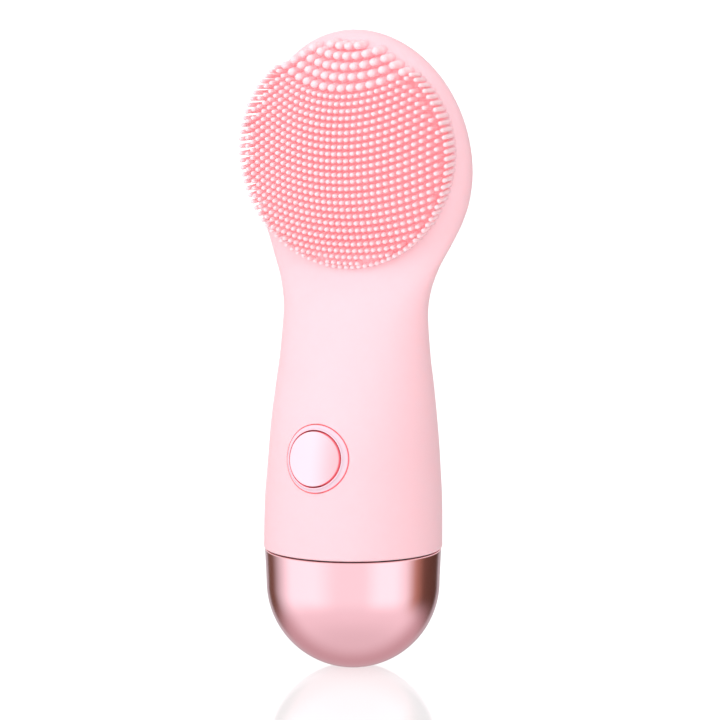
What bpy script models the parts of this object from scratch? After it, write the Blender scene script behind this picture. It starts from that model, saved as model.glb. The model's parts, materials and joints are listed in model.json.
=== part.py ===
"""Facial cleansing brush: a silicone-skinned paddle on a round handle with a twist-off metallic base.

Metres, +Z up along the handle, bristles and button facing -Y, origin at the middle of the foot.
"""
import math

import bmesh
import bpy
from mathutils import Vector

MM = 0.001
GAP = 0.3                      # clearance between pieces that meet

# ---- driving dimensions, in millimetres ----
SLEEVE_BOTTOM = 31.1           # lower edge of the silicone skin
SLEEVE_WALL = 1.8
SHELL_WALL = 1.8
SHELL_INSET = SLEEVE_WALL + GAP
SHELL_BOTTOM = 34.2
FLARE_BOTTOM = 88.0            # the handle starts to widen into the paddle here
HEAD_MIDDLE = 129.4            # height of the widest part of the paddle
HEAD_HALF_WIDTH = 31.0
HEAD_RISE = 36.0               # from the widest part up to the top
HEAD_FRONT_DEPTH = 14.5        # widest plane to the front of the skin
HEAD_BACK_DEPTH = 11.3
HEAD_PLANE = 5.8               # the widest plane lies this far behind the handle's axis
TOP_PLANE_SHIFT = 2.5          # and leans forward by this much at the very top

PAD_CENTRE_Z = 133.0           # centre of the bristle field
PAD_RADIUS = 28.8
TIP_RADIUS = 60.0              # radius of the crown that the tips lie on
TIP_APEX_Y = -13.6
FIELD_GAP = 0.6                # between the skin and the fields of bristles on it
NUB_ARC_Z = 18.1               # the thick nubs start this far above the centre
NUB_ARC_RADIUS = 35.0

DOME_RADIUS = 22.4
FOOT_RADIUS = 3.5
DOME_RIM_RADIUS = 22.85
DOME_TOP = 30.8
DOME_WALL = 1.6

THREAD_PITCH = 3.0
THREAD_HEIGHT = 0.7
NECK_RADIUS = 17.0             # root of the outer thread
NECK_BORE = 14.8
NECK_BOTTOM = 23.5
NECK_FLANGE_Z = 31.9
NECK_FLANGE_RADIUS = 20.6
THREAD_CLEARANCE = 0.45

BUTTON_Z = 57.1
BUTTON_SURFACE_Y = -21.8
BUTTON_TILT = math.radians(6.0)
RING_OUTER = 8.75
RING_INNER = 7.4
BUTTON_RADIUS = 7.05

MOTOR_AXIS_Y = 4.9
MOTOR_Z = 120.0
MOTOR_RADIUS = 6.0
MOTOR_LENGTH = 15.0

CELL_AXIS_Y = 2.6
CELL_RADIUS = 7.0
CELL_BOTTOM = 45.8
CELL_TOP = 92.0

SCREW_PLANE_Y = 2.4            # the two shells meet on this plane
SCREW_HEAD_RADIUS = 1.9
SCREW_SHANK_RADIUS = 0.9

FORM_SEGMENTS = 30             # corners of each ring of the skin and of the shells inside it
FORM_STOPS = (5, 9, 6)         # rings along the handle, through the flare and over the top

# height, half width, widest plane, front and back of the skin, up to its widest part
SKIN_STATIONS = (
    (31.1, 23.1, 0.0, -23.1, 23.1),
    (42.5, 22.9, 0.2, -22.9, 23.5),
    (55.0, 22.1, 0.6, -22.0, 23.2),
    (64.5, 21.6, 0.8, -20.2, 21.5),
    (73.5, 20.9, 1.1, -17.5, 19.5),
    (82.0, 20.2, 1.4, -14.6, 16.8),
    (92.5, 19.9, 1.6, -11.0, 13.9),
    (98.0, 20.7, 1.5, -8.4, 13.6),
    (104.5, 23.0, 1.8, -4.9, 13.9),
    (110.5, 25.8, 3.5, -4.4, 15.0),
    (117.0, 28.7, 4.9, -6.5, 16.1),
    (123.0, 30.4, 5.5, -8.2, 16.9),
    (129.4, 31.0, 5.8, -8.7, 17.1),
)


# ---- scene and materials ----

def clear_scene():
    for thing in list(bpy.data.objects):
        bpy.data.objects.remove(thing, do_unlink=True)


def finish_of(name, colour, roughness, metallic=0.0):
    material = bpy.data.materials.new(name)
    material.use_nodes = True
    shader = material.node_tree.nodes["Principled BSDF"]
    shader.inputs["Base Color"].default_value = (*colour, 1.0)
    shader.inputs["Roughness"].default_value = roughness
    shader.inputs["Metallic"].default_value = metallic
    return material


def make_finishes():
    return {
        "silicone": finish_of("pink_silicone", (0.94, 0.72, 0.75), 0.55),
        "bristle": finish_of("bristle_silicone", (0.93, 0.55, 0.56), 0.5),
        "rose_metal": finish_of("rose_metal", (0.80, 0.52, 0.50), 0.28, 1.0),
        "gloss_white": finish_of("gloss_pink_white", (0.95, 0.86, 0.90), 0.15),
        "red_seal": finish_of("red_rubber", (0.78, 0.25, 0.27), 0.6),
        "abs": finish_of("white_abs", (0.85, 0.84, 0.82), 0.5),
        "board": finish_of("green_board", (0.05, 0.28, 0.12), 0.5),
        "steel": finish_of("steel", (0.62, 0.62, 0.64), 0.3, 1.0),
        "black": finish_of("black_plastic", (0.03, 0.03, 0.03), 0.5),
        "copper": finish_of("copper", (0.72, 0.38, 0.22), 0.35, 1.0),
        "cell": finish_of("cell_wrap", (0.10, 0.28, 0.55), 0.4),
        "red_wire": finish_of("red_wire", (0.65, 0.04, 0.04), 0.5),
        "black_wire": finish_of("black_wire", (0.02, 0.02, 0.02), 0.5),
        "rubber": finish_of("grey_rubber", (0.25, 0.25, 0.26), 0.8),
    }


# ---- mesh helpers; they take millimetres ----

def object_from(name, mesh_builder, finish, smooth_angle=35.0):
    bmesh.ops.recalc_face_normals(mesh_builder, faces=mesh_builder.faces[:])
    mesh = bpy.data.meshes.new(name)
    mesh_builder.to_mesh(mesh)
    mesh_builder.free()
    mesh.shade_smooth()
    mesh.set_sharp_from_angle(angle=math.radians(smooth_angle))
    mesh.materials.append(finish)
    thing = bpy.data.objects.new(name, mesh)
    bpy.context.scene.collection.objects.link(thing)
    return thing


def place(thing, x=0.0, y=0.0, z=0.0, turn=(0.0, 0.0, 0.0)):
    thing.location = (x * MM, y * MM, z * MM)
    thing.rotation_euler = turn
    return thing


def rings_to_solid(name, rings, finish, closed_loop=False):
    """Skin a list of equal rings of points; the ends are capped unless the last ring meets the first."""
    bm = bmesh.new()
    layers = [[bm.verts.new(Vector(point) * MM) for point in ring] for ring in rings]
    count = len(layers[0])
    pairs = list(zip(layers, layers[1:]))
    if closed_loop:
        pairs.append((layers[-1], layers[0]))
    for lower, upper in pairs:
        for i in range(count):
            j = (i + 1) % count
            bm.faces.new((lower[i], lower[j], upper[j], upper[i]))
    if not closed_loop:
        bm.faces.new(layers[0])
        bm.faces.new(layers[-1])
    return object_from(name, bm, finish)


def turned(name, profile, finish, segments=32):
    """Turn a closed outline of (radius, height) about the local Z axis."""
    bm = bmesh.new()
    columns = []
    for radius, height in profile:
        if radius == 0.0:
            columns.append([bm.verts.new((0.0, 0.0, height * MM))] * segments)
            continue
        angles = [2.0 * math.pi * i / segments for i in range(segments)]
        column = [
            bm.verts.new((radius * MM * math.cos(a), radius * MM * math.sin(a), height * MM))
            for a in angles
        ]
        columns.append(column)
    for k, lower in enumerate(columns):
        upper = columns[(k + 1) % len(columns)]
        for i in range(segments):
            j = (i + 1) % segments
            corners = []
            for corner in (lower[i], lower[j], upper[j], upper[i]):
                if corner not in corners:
                    corners.append(corner)
            if len(corners) > 2:
                bm.faces.new(corners)
    return object_from(name, bm, finish)


def block(name, size, finish, bevel=0.0):
    bm = bmesh.new()
    bmesh.ops.create_cube(bm, size=1.0)
    bmesh.ops.scale(bm, vec=Vector(size) * MM, verts=bm.verts[:])
    if bevel:
        bmesh.ops.bevel(bm, geom=bm.edges[:], offset=bevel * MM, segments=1, affect="EDGES")
    return object_from(name, bm, finish)


def wire(name, points, radius, finish):
    curve = bpy.data.curves.new(name, "CURVE")
    curve.dimensions = "3D"
    curve.bevel_depth = radius * MM
    curve.bevel_resolution = 2
    curve.use_fill_caps = True
    spline = curve.splines.new("POLY")
    smooth = smooth_route(points)
    spline.points.add(len(smooth) - 1)
    for slot, point in zip(spline.points, smooth):
        slot.co = (*(Vector(point) * MM), 1.0)
    curve.materials.append(finish)
    thing = bpy.data.objects.new(name, curve)
    bpy.context.scene.collection.objects.link(thing)
    return thing


def smooth_route(points, steps=3):
    """A Catmull-Rom curve through the route's own points."""
    padded = [points[0], *points, points[-1]]
    route = []
    for k in range(1, len(padded) - 2):
        a, b, c, d = (Vector(p) for p in padded[k - 1:k + 3])
        for s in range(steps):
            t = s / steps
            route.append(0.5 * (2 * b + (c - a) * t + (2 * a - 5 * b + 4 * c - d) * t ** 2
                                + (3 * b - a - 3 * c + d) * t ** 3))
    route.append(Vector(points[-1]))
    return route


def combine(thing, other, operation, solver="EXACT"):
    other.hide_render = True
    other.display_type = "WIRE"
    step = thing.modifiers.new(operation.lower() + "_" + other.name, "BOOLEAN")
    step.operation = operation
    step.solver = solver
    step.object = other
    return thing


# ---- the skin's outer form ----

def station_value(height, column):
    """Smooth value of one column of SKIN_STATIONS, with slopes that never overshoot."""
    rows = SKIN_STATIONS
    k = 0
    while k < len(rows) - 2 and height > rows[k + 1][0]:
        k += 1

    def rise(i):
        return (rows[i + 1][column] - rows[i][column]) / (rows[i + 1][0] - rows[i][0])

    def slope(i):
        if i == 0 or i == len(rows) - 1:
            return 0.0
        before, after = rise(i - 1), rise(i)
        if before * after <= 0.0:
            return 0.0
        return 2.0 * before * after / (before + after)

    span = rows[k + 1][0] - rows[k][0]
    t = min(max((height - rows[k][0]) / span, 0.0), 1.0)
    low, high = rows[k][column], rows[k + 1][column]
    return (low * (1 + 2 * t) * (1 - t) ** 2 + high * t * t * (3 - 2 * t)
            + span * (slope(k) * t * (1 - t) ** 2 + slope(k + 1) * t * t * (t - 1)))


def skin_section(height):
    """Half width, widest plane, front depth and back depth of the skin at a height."""
    if height <= HEAD_MIDDLE:
        half_width, plane, front, back = (station_value(height, k) for k in (1, 2, 3, 4))
        return half_width, plane, plane - front, back - plane
    lift = min((height - HEAD_MIDDLE) / HEAD_RISE, 1.0)
    narrowing = math.sqrt(max(1.0 - lift * lift, 0.0))
    plane = HEAD_PLANE - TOP_PLANE_SHIFT * lift * lift
    return (HEAD_HALF_WIDTH * narrowing, plane,
            HEAD_FRONT_DEPTH * narrowing ** 1.1, HEAD_BACK_DEPTH * narrowing ** 0.95)


def skin_front(x, z):
    """The y of the skin's front surface."""
    half_width, plane, front, _ = skin_section(z)
    return plane - front * math.sqrt(max(1.0 - (x / half_width) ** 2, 0.0))


def skin_ring(height, inset, segments):
    """One level of the skin, moved inwards all round; near the top it also moves down."""
    half_width, plane, front, back = skin_section(height)
    z = height
    if height > HEAD_MIDDLE:
        lift = (height - HEAD_MIDDLE) / HEAD_RISE
        z = height - inset * lift
        inset = inset * math.sqrt(max(1.0 - lift * lift, 0.0))
    ring = []
    for i in range(segments):
        angle = 2.0 * math.pi * i / segments
        depth = (back if math.sin(angle) > 0 else front) - inset
        ring.append(((half_width - inset) * math.cos(angle), plane + depth * math.sin(angle), z))
    return ring


def form_levels(bottom):
    """Heights of the skin's rings: along the handle, through the flare, and over the top."""
    handle_stops, flare_stops, top_stops = FORM_STOPS
    handle = [bottom]
    handle += [SLEEVE_BOTTOM + (FLARE_BOTTOM - SLEEVE_BOTTOM) * i / handle_stops
               for i in range(1, handle_stops)]
    flare_rise = HEAD_MIDDLE - FLARE_BOTTOM
    flare = [FLARE_BOTTOM + flare_rise * i / flare_stops for i in range(flare_stops)]
    last_angle = math.radians(86.0)
    top = [HEAD_MIDDLE + HEAD_RISE * math.sin(last_angle * i / top_stops)
           for i in range(top_stops + 1)]
    return handle + flare + top


def hollow_form(name, outer_inset, inner_inset, bottom, finish):
    """The skin's form as a wall that is open at the bottom."""
    segments = FORM_SEGMENTS
    levels = form_levels(bottom)
    outer = [skin_ring(level, outer_inset, segments) for level in levels]
    inner = [skin_ring(level, inner_inset, segments) for level in levels]
    bm = bmesh.new()
    outer_layers = [[bm.verts.new(Vector(p) * MM) for p in ring] for ring in outer]
    inner_layers = [[bm.verts.new(Vector(p) * MM) for p in ring] for ring in inner]
    for layers in (outer_layers, inner_layers):
        for lower, upper in zip(layers, layers[1:]):
            for i in range(segments):
                j = (i + 1) % segments
                bm.faces.new((lower[i], lower[j], upper[j], upper[i]))
        bm.faces.new(layers[-1])
    for i in range(segments):
        j = (i + 1) % segments
        bm.faces.new((outer_layers[0][i], outer_layers[0][j], inner_layers[0][j], inner_layers[0][i]))
    return object_from(name, bm, finish)


def follow_skin(thing):
    """Bend the upper side of a turned button piece to the curve of the skin round it."""
    for vertex in thing.data.vertices:
        if vertex.co.z > 0.0:
            up = vertex.co.y / MM
            flat = BUTTON_SURFACE_Y + up * math.sin(BUTTON_TILT)
            curved = skin_front(vertex.co.x / MM, BUTTON_Z + up * math.cos(BUTTON_TILT))
            vertex.co.z -= (curved - flat) * math.cos(BUTTON_TILT) * MM
    return thing


def button_frame(thing, along=0.0):
    """Lay a turned piece along the button's axis; `along` is the distance out of the skin."""
    outward = Vector((0.0, -math.cos(BUTTON_TILT), math.sin(BUTTON_TILT)))
    spot = Vector((0.0, BUTTON_SURFACE_Y, BUTTON_Z)) + outward * along
    thing.location = spot * MM
    thing.rotation_euler = (math.pi / 2 - BUTTON_TILT, 0.0, 0.0)
    return thing


# ---- silicone skin and its bristle field ----

def make_sleeve(finishes):
    sleeve = hollow_form("silicone_sleeve", 0.0, SLEEVE_WALL, SLEEVE_BOTTOM,
                         finishes["silicone"])
    hole = turned("sleeve_button_hole", ((0.0, -6.0), (RING_OUTER + GAP, -6.0),
                                         (RING_OUTER + GAP, 6.0), (0.0, 6.0)), finishes["abs"])
    combine(sleeve, button_frame(hole), "DIFFERENCE")


def tip_surface(x, z):
    across = x * x + (z - PAD_CENTRE_Z) ** 2
    return TIP_APEX_Y + TIP_RADIUS - math.sqrt(TIP_RADIUS ** 2 - across)


def pad_edge(x):
    return math.sqrt(max(PAD_RADIUS ** 2 - x * x, 0.0))


def nub_arc(x):
    return NUB_ARC_Z + NUB_ARC_RADIUS - math.sqrt(NUB_ARC_RADIUS ** 2 - x * x)


def field_envelope(name, half_width, lower_edge, upper_edge, finish, columns, rows):
    """Closed solid that a field of bristles fills, from the skin to the crown of the tips."""
    bm = bmesh.new()
    roots, tips = [], []
    for i in range(columns + 1):
        x = half_width * math.sin(math.pi / 2 * (2.0 * i / columns - 1.0))
        low, high = lower_edge(x), upper_edge(x)
        root_column, tip_column = [], []
        for k in range(rows + 1):
            z = PAD_CENTRE_Z + low + (high - low) * k / rows
            root_column.append(bm.verts.new(Vector((x, skin_front(x, z) - FIELD_GAP, z)) * MM))
            tip_column.append(bm.verts.new(Vector((x, tip_surface(x, z), z)) * MM))
        roots.append(root_column)
        tips.append(tip_column)
    for i in range(columns):
        for k in range(rows):
            for sheet in (roots, tips):
                bm.faces.new((sheet[i][k], sheet[i + 1][k], sheet[i + 1][k + 1], sheet[i][k + 1]))
        for k in (0, rows):
            bm.faces.new((roots[i][k], roots[i + 1][k], tips[i + 1][k], tips[i][k]))
    for k in range(rows):
        for i in (0, columns):
            bm.faces.new((roots[i][k], roots[i][k + 1], tips[i][k + 1], tips[i][k]))
    object_from(name, bm, finish)


def make_bristle_fields(finishes):
    arc_end = 17.6
    field_envelope("bristle_pad", PAD_RADIUS * 0.992, lambda x: -pad_edge(x),
                   lambda x: min(pad_edge(x), nub_arc(min(abs(x), arc_end + 2.0))),
                   finishes["bristle"], 18, 8)
    field_envelope("scrub_nubs", arc_end, lambda x: nub_arc(x) + GAP, pad_edge,
                   finishes["bristle"], 12, 4)


# ---- power button ----

def make_button(finishes):
    ring_profile = ((RING_INNER, -3.0), (RING_OUTER, -3.0), (RING_OUTER, 0.1),
                    (RING_OUTER - 0.3, 0.55), (RING_INNER + 0.55, 1.05),
                    (RING_INNER + 0.25, 1.15), (RING_INNER, 0.95))
    ring = turned("button_ring", ring_profile, finishes["gloss_white"], 40)
    button_frame(follow_skin(ring))
    seal_profile = ((5.6, -3.9), (RING_OUTER - 0.1, -3.9), (RING_OUTER - 0.1, -3.3), (5.6, -3.3))
    button_frame(turned("button_seal", seal_profile, finishes["red_seal"], 32))
    cap_profile = ((0.0, -1.2), (BUTTON_RADIUS - 0.4, -1.2), (BUTTON_RADIUS, -0.9),
                   (BUTTON_RADIUS, 1.2), (BUTTON_RADIUS - 0.25, 1.5),
                   (BUTTON_RADIUS * 0.65, 1.6), (BUTTON_RADIUS * 0.3, 1.6), (0.0, 1.6))
    cap = follow_skin(turned("power_button", cap_profile, finishes["silicone"], 40))
    stem = turned("button_stem", ((0.0, -4.6), (1.6, -4.6), (1.6, 0.0), (0.0, 0.0)),
                  finishes["abs"], 16)
    combine(button_frame(cap), button_frame(stem), "UNION")
    plunger_profile = ((0.0, -6.9), (1.5, -6.9), (1.5, -4.9), (0.0, -4.9))
    button_frame(turned("switch_plunger", plunger_profile, finishes["black"], 16))
    switch = button_frame(block("switch_body", (6.0, 6.0, 3.2), finishes["steel"], 0.2), -7.4)
    well = turned("switch_well", ((0.0, -7.9), (1.8, -7.9), (1.8, -5.0), (0.0, -5.0)),
                  finishes["abs"], 16)
    combine(switch, button_frame(well), "DIFFERENCE")
    button_frame(block("switch_board", (12.0, 12.0, 0.8), finishes["board"]), -9.7)


# ---- hard shells inside the skin ----

SCREW_SPOTS = ((11.0, 41.5), (-11.0, 41.5), (11.5, 147.0), (-11.5, 147.0))
POST_RADIUS = 3.2
SHELL_SOLVER = "MANIFOLD"      # the shells' slanting walls and posts need it


def make_shells(finishes):
    inner = SHELL_INSET + SHELL_WALL
    box_depth = 60.0
    for name, side in (("front_shell", -1.0), ("rear_shell", 1.0)):
        shell = hollow_form(name, SHELL_INSET, inner, SHELL_BOTTOM, finishes["abs"])
        for number, (x, z) in enumerate(SCREW_SPOTS, start=1):
            add_screw_post(shell, side, "%s_post_%d" % (name, number), x, z, finishes)
        cutter = block(name + "_parting", (90.0, box_depth, 300.0), finishes["abs"])
        cut_face = SCREW_PLANE_Y + side * GAP / 2
        place(cutter, 0.0, cut_face - side * box_depth / 2, 100.0)
        combine(shell, cutter, "DIFFERENCE", SHELL_SOLVER)
        for number, (x, z) in enumerate(SCREW_SPOTS, start=1):
            drill_screw_post(shell, side, "%s_drill_%d" % (name, number), x, z, finishes)
        if side < 0:
            hole = turned("shell_button_hole", ((0.0, -9.0), (6.6, -9.0), (6.6, 9.0), (0.0, 9.0)),
                          finishes["abs"], 24)
            seat = turned("shell_ring_seat", ((0.0, -4.2), (RING_OUTER + GAP, -4.2),
                                              (RING_OUTER + GAP, 6.0), (0.0, 6.0)),
                          finishes["abs"], 32)
            combine(shell, button_frame(hole), "DIFFERENCE", SHELL_SOLVER)
            combine(shell, button_frame(seat), "DIFFERENCE", SHELL_SOLVER)


def add_screw_post(shell, side, name, x, z, finishes):
    """A post from inside the shell's wall to just past the parting plane."""
    half_width, plane, front, back = skin_section(z)
    depth = (back if side > 0 else front) - SHELL_INSET - SHELL_WALL / 2
    edge = (abs(x) + POST_RADIUS) / (half_width - SHELL_INSET)
    reach = depth * math.sqrt(1.0 - edge ** 2)
    start_y = SCREW_PLANE_Y - side
    length = abs(plane + side * reach - start_y)
    post = turned(name, ((0.0, 0.0), (POST_RADIUS, 0.0), (POST_RADIUS, length), (0.0, length)),
                  finishes["abs"], 20)
    combine(shell, place(post, x, start_y, z, (side * -math.pi / 2, 0.0, 0.0)), "UNION",
            SHELL_SOLVER)


def drill_screw_post(shell, side, name, x, z, finishes):
    """A pilot hole in the front post; a clearance hole and a head recess through the rear one."""
    start = SCREW_PLANE_Y - 6.0
    profile = ((0.0, 0.0), (1.2, 0.0), (1.2, 7.0), (0.0, 7.0))
    if side > 0:
        profile = ((0.0, 0.0), (1.3, 0.0), (1.3, 8.5), (2.3, 8.5), (2.3, 37.0), (0.0, 37.0))
    drill = turned(name, profile, finishes["abs"], 20)
    combine(shell, place(drill, x, start, z, (-math.pi / 2, 0.0, 0.0)), "DIFFERENCE",
            SHELL_SOLVER)


def make_shell_screws(finishes):
    for number, (x, z) in enumerate(SCREW_SPOTS, start=1):
        profile = ((0.0, 0.0), (SCREW_SHANK_RADIUS, 0.0), (SCREW_SHANK_RADIUS, 8.3),
                   (SCREW_HEAD_RADIUS, 8.3), (SCREW_HEAD_RADIUS, 9.5), (1.2, 9.9), (0.0, 9.9))
        screw = turned("shell_screw_%d" % number, profile, finishes["steel"], 16)
        place(screw, x, SCREW_PLANE_Y - 5.5, z, (-math.pi / 2, 0.0, 0.0))


# ---- base: threaded neck, seals and twist-off cap ----

def thread_rings(base_radius, crest, bottom, top, segments, pitch_steps):
    """Rings of points whose radius follows a single-start right-hand thread."""
    count = int(round((top - bottom) / THREAD_PITCH * pitch_steps))
    rings = []
    for k in range(count + 1):
        z = bottom + (top - bottom) * k / count
        fade = min(1.0, 2.0 * min(z - bottom, top - z) / THREAD_PITCH)
        ring = []
        for i in range(segments):
            angle = 2.0 * math.pi * i / segments
            phase = 2.0 * math.pi * z / THREAD_PITCH - angle
            wave = 0.5 + 0.5 * math.cos(phase)
            radius = base_radius + crest * (wave if crest > 0 else 1.0 - wave) * fade
            ring.append((radius * math.cos(angle), radius * math.sin(angle), z))
        rings.append(ring)
    return rings


def plain_ring(radius, z, segments):
    steps = range(segments)
    angle = 2.0 * math.pi / segments
    return [(radius * math.cos(angle * i), radius * math.sin(angle * i), z) for i in steps]


def make_threaded_neck(finishes):
    segments = 32
    outer = thread_rings(NECK_RADIUS, THREAD_HEIGHT, NECK_BOTTOM, 30.4, segments, 5)
    outline = ((NECK_RADIUS, NECK_FLANGE_Z), (NECK_FLANGE_RADIUS, NECK_FLANGE_Z),
               (NECK_FLANGE_RADIUS, 33.6), (18.7, 33.6), (18.7, 37.5), (16.8, 37.5),
               (NECK_BORE, 34.0), (NECK_BORE, 25.2))
    rings = outer + [plain_ring(radius, z, segments) for radius, z in outline]
    bm = bmesh.new()
    layers = [[bm.verts.new(Vector(p) * MM) for p in ring] for ring in rings]
    for lower, upper in zip(layers, layers[1:]):
        for i in range(segments):
            j = (i + 1) % segments
            bm.faces.new((lower[i], lower[j], upper[j], upper[i]))
    bm.faces.new(layers[0])
    bm.faces.new(layers[-1])
    neck = object_from("threaded_neck", bm, finishes["abs"])
    slot = place(block("socket_slot", (9.8, 4.2, 8.0), finishes["abs"]), 0.0, 0.0, 24.0)
    combine(neck, slot, "DIFFERENCE")


def make_seals(finishes):
    minor, major, middle_z = 0.6, 18.6, 31.2
    profile = [(major + minor * math.cos(math.pi * i / 4), middle_z + minor * math.sin(math.pi * i / 4))
               for i in range(8)]
    turned("neck_seal_ring", profile, finishes["rubber"], 24)
    turned("cap_gasket", ((12.5, 21.9), (16.6, 21.9), (16.6, 22.9), (12.5, 22.9)),
           finishes["rubber"], 32)


def dome_profile():
    """Outline of the dome's wall: out along the foot, up the outside, down the inside."""
    centre_z = math.sqrt(DOME_RADIUS ** 2 - FOOT_RADIUS ** 2)
    start = -math.acos(FOOT_RADIUS / DOME_RADIUS)
    steps = 9
    outside = [(DOME_RADIUS * math.cos(start * (1 - i / steps)),
                centre_z + DOME_RADIUS * math.sin(start * (1 - i / steps))) for i in range(steps)]
    outside[0] = (FOOT_RADIUS, 0.0)
    rim = [(DOME_RADIUS, centre_z), (DOME_RIM_RADIUS - 0.1, 28.6), (DOME_RIM_RADIUS, DOME_TOP - 0.3),
           (DOME_RIM_RADIUS - 0.3, DOME_TOP), (DOME_RIM_RADIUS - DOME_WALL, DOME_TOP),
           (DOME_RIM_RADIUS - DOME_WALL, 24.0)]
    inner_radius = DOME_RADIUS - DOME_WALL
    inside = [(inner_radius * math.cos(0.5 * math.pi * i / 5),
               centre_z - inner_radius * math.sin(0.5 * math.pi * i / 5)) for i in range(5)]
    return [(0.0, 0.0), *outside, *rim, *inside, (0.0, centre_z - inner_radius)]


def make_cap(finishes):
    turned("base_cap", dome_profile(), finishes["rose_metal"], 40)
    segments = 32
    root = NECK_RADIUS + THREAD_HEIGHT + THREAD_CLEARANCE
    thread = thread_rings(root, -THREAD_HEIGHT, 23.0, 29.6, segments, 5)
    outline_below = ((13.0, 21.6), (13.0, 20.3), (20.2, 20.3), (20.9, 24.0), (20.9, 30.1))
    rings = [plain_ring(root, 21.6, segments)] + thread + [plain_ring(root + 0.3, 30.1, segments)]
    rings += [plain_ring(radius, z, segments) for radius, z in reversed(outline_below)]
    rings_to_solid("cap_core", rings, finishes["abs"], closed_loop=True)


# ---- drive: cell, boards, socket, motor and wires ----

def make_cell(finishes):
    cell_profile = ((0.0, CELL_BOTTOM), (CELL_RADIUS - 0.5, CELL_BOTTOM),
                    (CELL_RADIUS, CELL_BOTTOM + 0.5), (CELL_RADIUS, CELL_TOP - 0.5),
                    (CELL_RADIUS - 0.5, CELL_TOP), (3.0, CELL_TOP), (2.8, CELL_TOP + 1.0),
                    (0.0, CELL_TOP + 1.0))
    place(turned("battery_cell", cell_profile, finishes["cell"], 28), 0.0, CELL_AXIS_Y, 0.0)
    for name, z in (("battery_tab_bottom", CELL_BOTTOM - 0.5), ("battery_tab_top", CELL_TOP + 1.5)):
        place(block(name, (4.0, 9.0, 0.3), finishes["steel"]), 0.0, CELL_AXIS_Y, z)
    holder = turned("battery_holder", ((CELL_RADIUS + GAP, 0.0), (CELL_RADIUS + 1.3, 0.0),
                                       (CELL_RADIUS + 1.3, 34.0), (CELL_RADIUS + GAP, 34.0)),
                    finishes["abs"], 24)
    place(holder, 0.0, CELL_AXIS_Y, 51.0)
    opening = place(block("holder_mouth", (30.0, 20.0, 60.0), finishes["abs"]), 0.0,
                    CELL_AXIS_Y - 12.0, 68.0)
    combine(holder, opening, "DIFFERENCE")


def make_boards(finishes):
    place(block("control_board", (19.0, 1.0, 26.0), finishes["board"]), 0.0, -6.2, 58.4)
    place(block("control_chip", (5.0, 1.2, 5.0), finishes["black"], 0.1), 4.0, -7.6, 66.0)
    place(block("charge_board", (20.0, 14.0, 1.0), finishes["board"]), 0.0, 0.0, 32.4)
    shell = block("charge_socket", (9.0, 3.2, 7.2), finishes["steel"], 0.4)
    mouth = place(block("socket_mouth", (7.6, 2.0, 7.0), finishes["abs"]), 0.0, 0.0, 26.6)
    combine(place(shell, 0.0, 0.0, 28.2), mouth, "DIFFERENCE")
    for number, x in enumerate((8.0, -8.0), start=1):
        profile = ((0.0, 0.0), (0.8, 0.0), (0.8, 3.4), (1.7, 3.4), (1.7, 4.4), (0.0, 4.4))
        place(turned("board_screw_%d" % number, profile, finishes["steel"], 14), x, 4.8, 29.9)
    board = bpy.data.objects["charge_board"]
    for number, x in enumerate((8.0, -8.0), start=1):
        hole = turned("board_hole_%d" % number, ((0.0, 0.0), (1.1, 0.0), (1.1, 6.0), (0.0, 6.0)),
                      finishes["abs"], 14)
        combine(board, place(hole, x, 4.8, 29.6), "DIFFERENCE")


def make_motor(finishes):
    base, top = MOTOR_Z, MOTOR_Z + MOTOR_LENGTH
    can = turned("motor_can", ((5.5, base), (MOTOR_RADIUS, base), (MOTOR_RADIUS, top),
                               (1.4, top), (1.4, top - 0.6), (5.5, top - 0.6)),
                 finishes["steel"], 22)
    magnet = turned("motor_magnet", ((4.0, base + 3.0), (5.2, base + 3.0), (5.2, top - 1.0),
                                     (4.0, top - 1.0)), finishes["rubber"], 22)
    coil = turned("motor_armature", ((1.0, base + 3.5), (3.5, base + 3.5), (3.5, top - 2.0),
                                     (1.0, top - 2.0)), finishes["copper"], 24)
    shaft = turned("motor_shaft", ((0.0, base + 1.5), (0.7, base + 1.5), (0.7, top + 8.0),
                                   (0.0, top + 8.0)), finishes["steel"], 16)
    end_cap = turned("motor_end_cap", ((0.0, base - 0.9), (MOTOR_RADIUS, base - 0.9),
                                       (MOTOR_RADIUS, base - 0.3), (0.0, base - 0.3)),
                     finishes["abs"], 28)
    cradle = turned("motor_cradle", ((MOTOR_RADIUS + GAP, base + 1.0), (7.2, base + 1.0),
                                     (7.2, top - 1.0), (MOTOR_RADIUS + GAP, top - 1.0)),
                    finishes["rubber"], 22)
    weight = turned("eccentric_weight", ((1.0, top + 2.0), (5.6, top + 2.0), (5.6, top + 7.0),
                                         (1.0, top + 7.0)), finishes["steel"], 22)
    missing_half = block("weight_cut", (14.0, 12.0, 12.0), finishes["abs"])
    combine(weight, place(missing_half, 0.0, MOTOR_AXIS_Y - 7.2, top + 4.5), "DIFFERENCE")
    for piece in (can, magnet, coil, shaft, end_cap, cradle, weight):
        piece.location.y = MOTOR_AXIS_Y * MM


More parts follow.
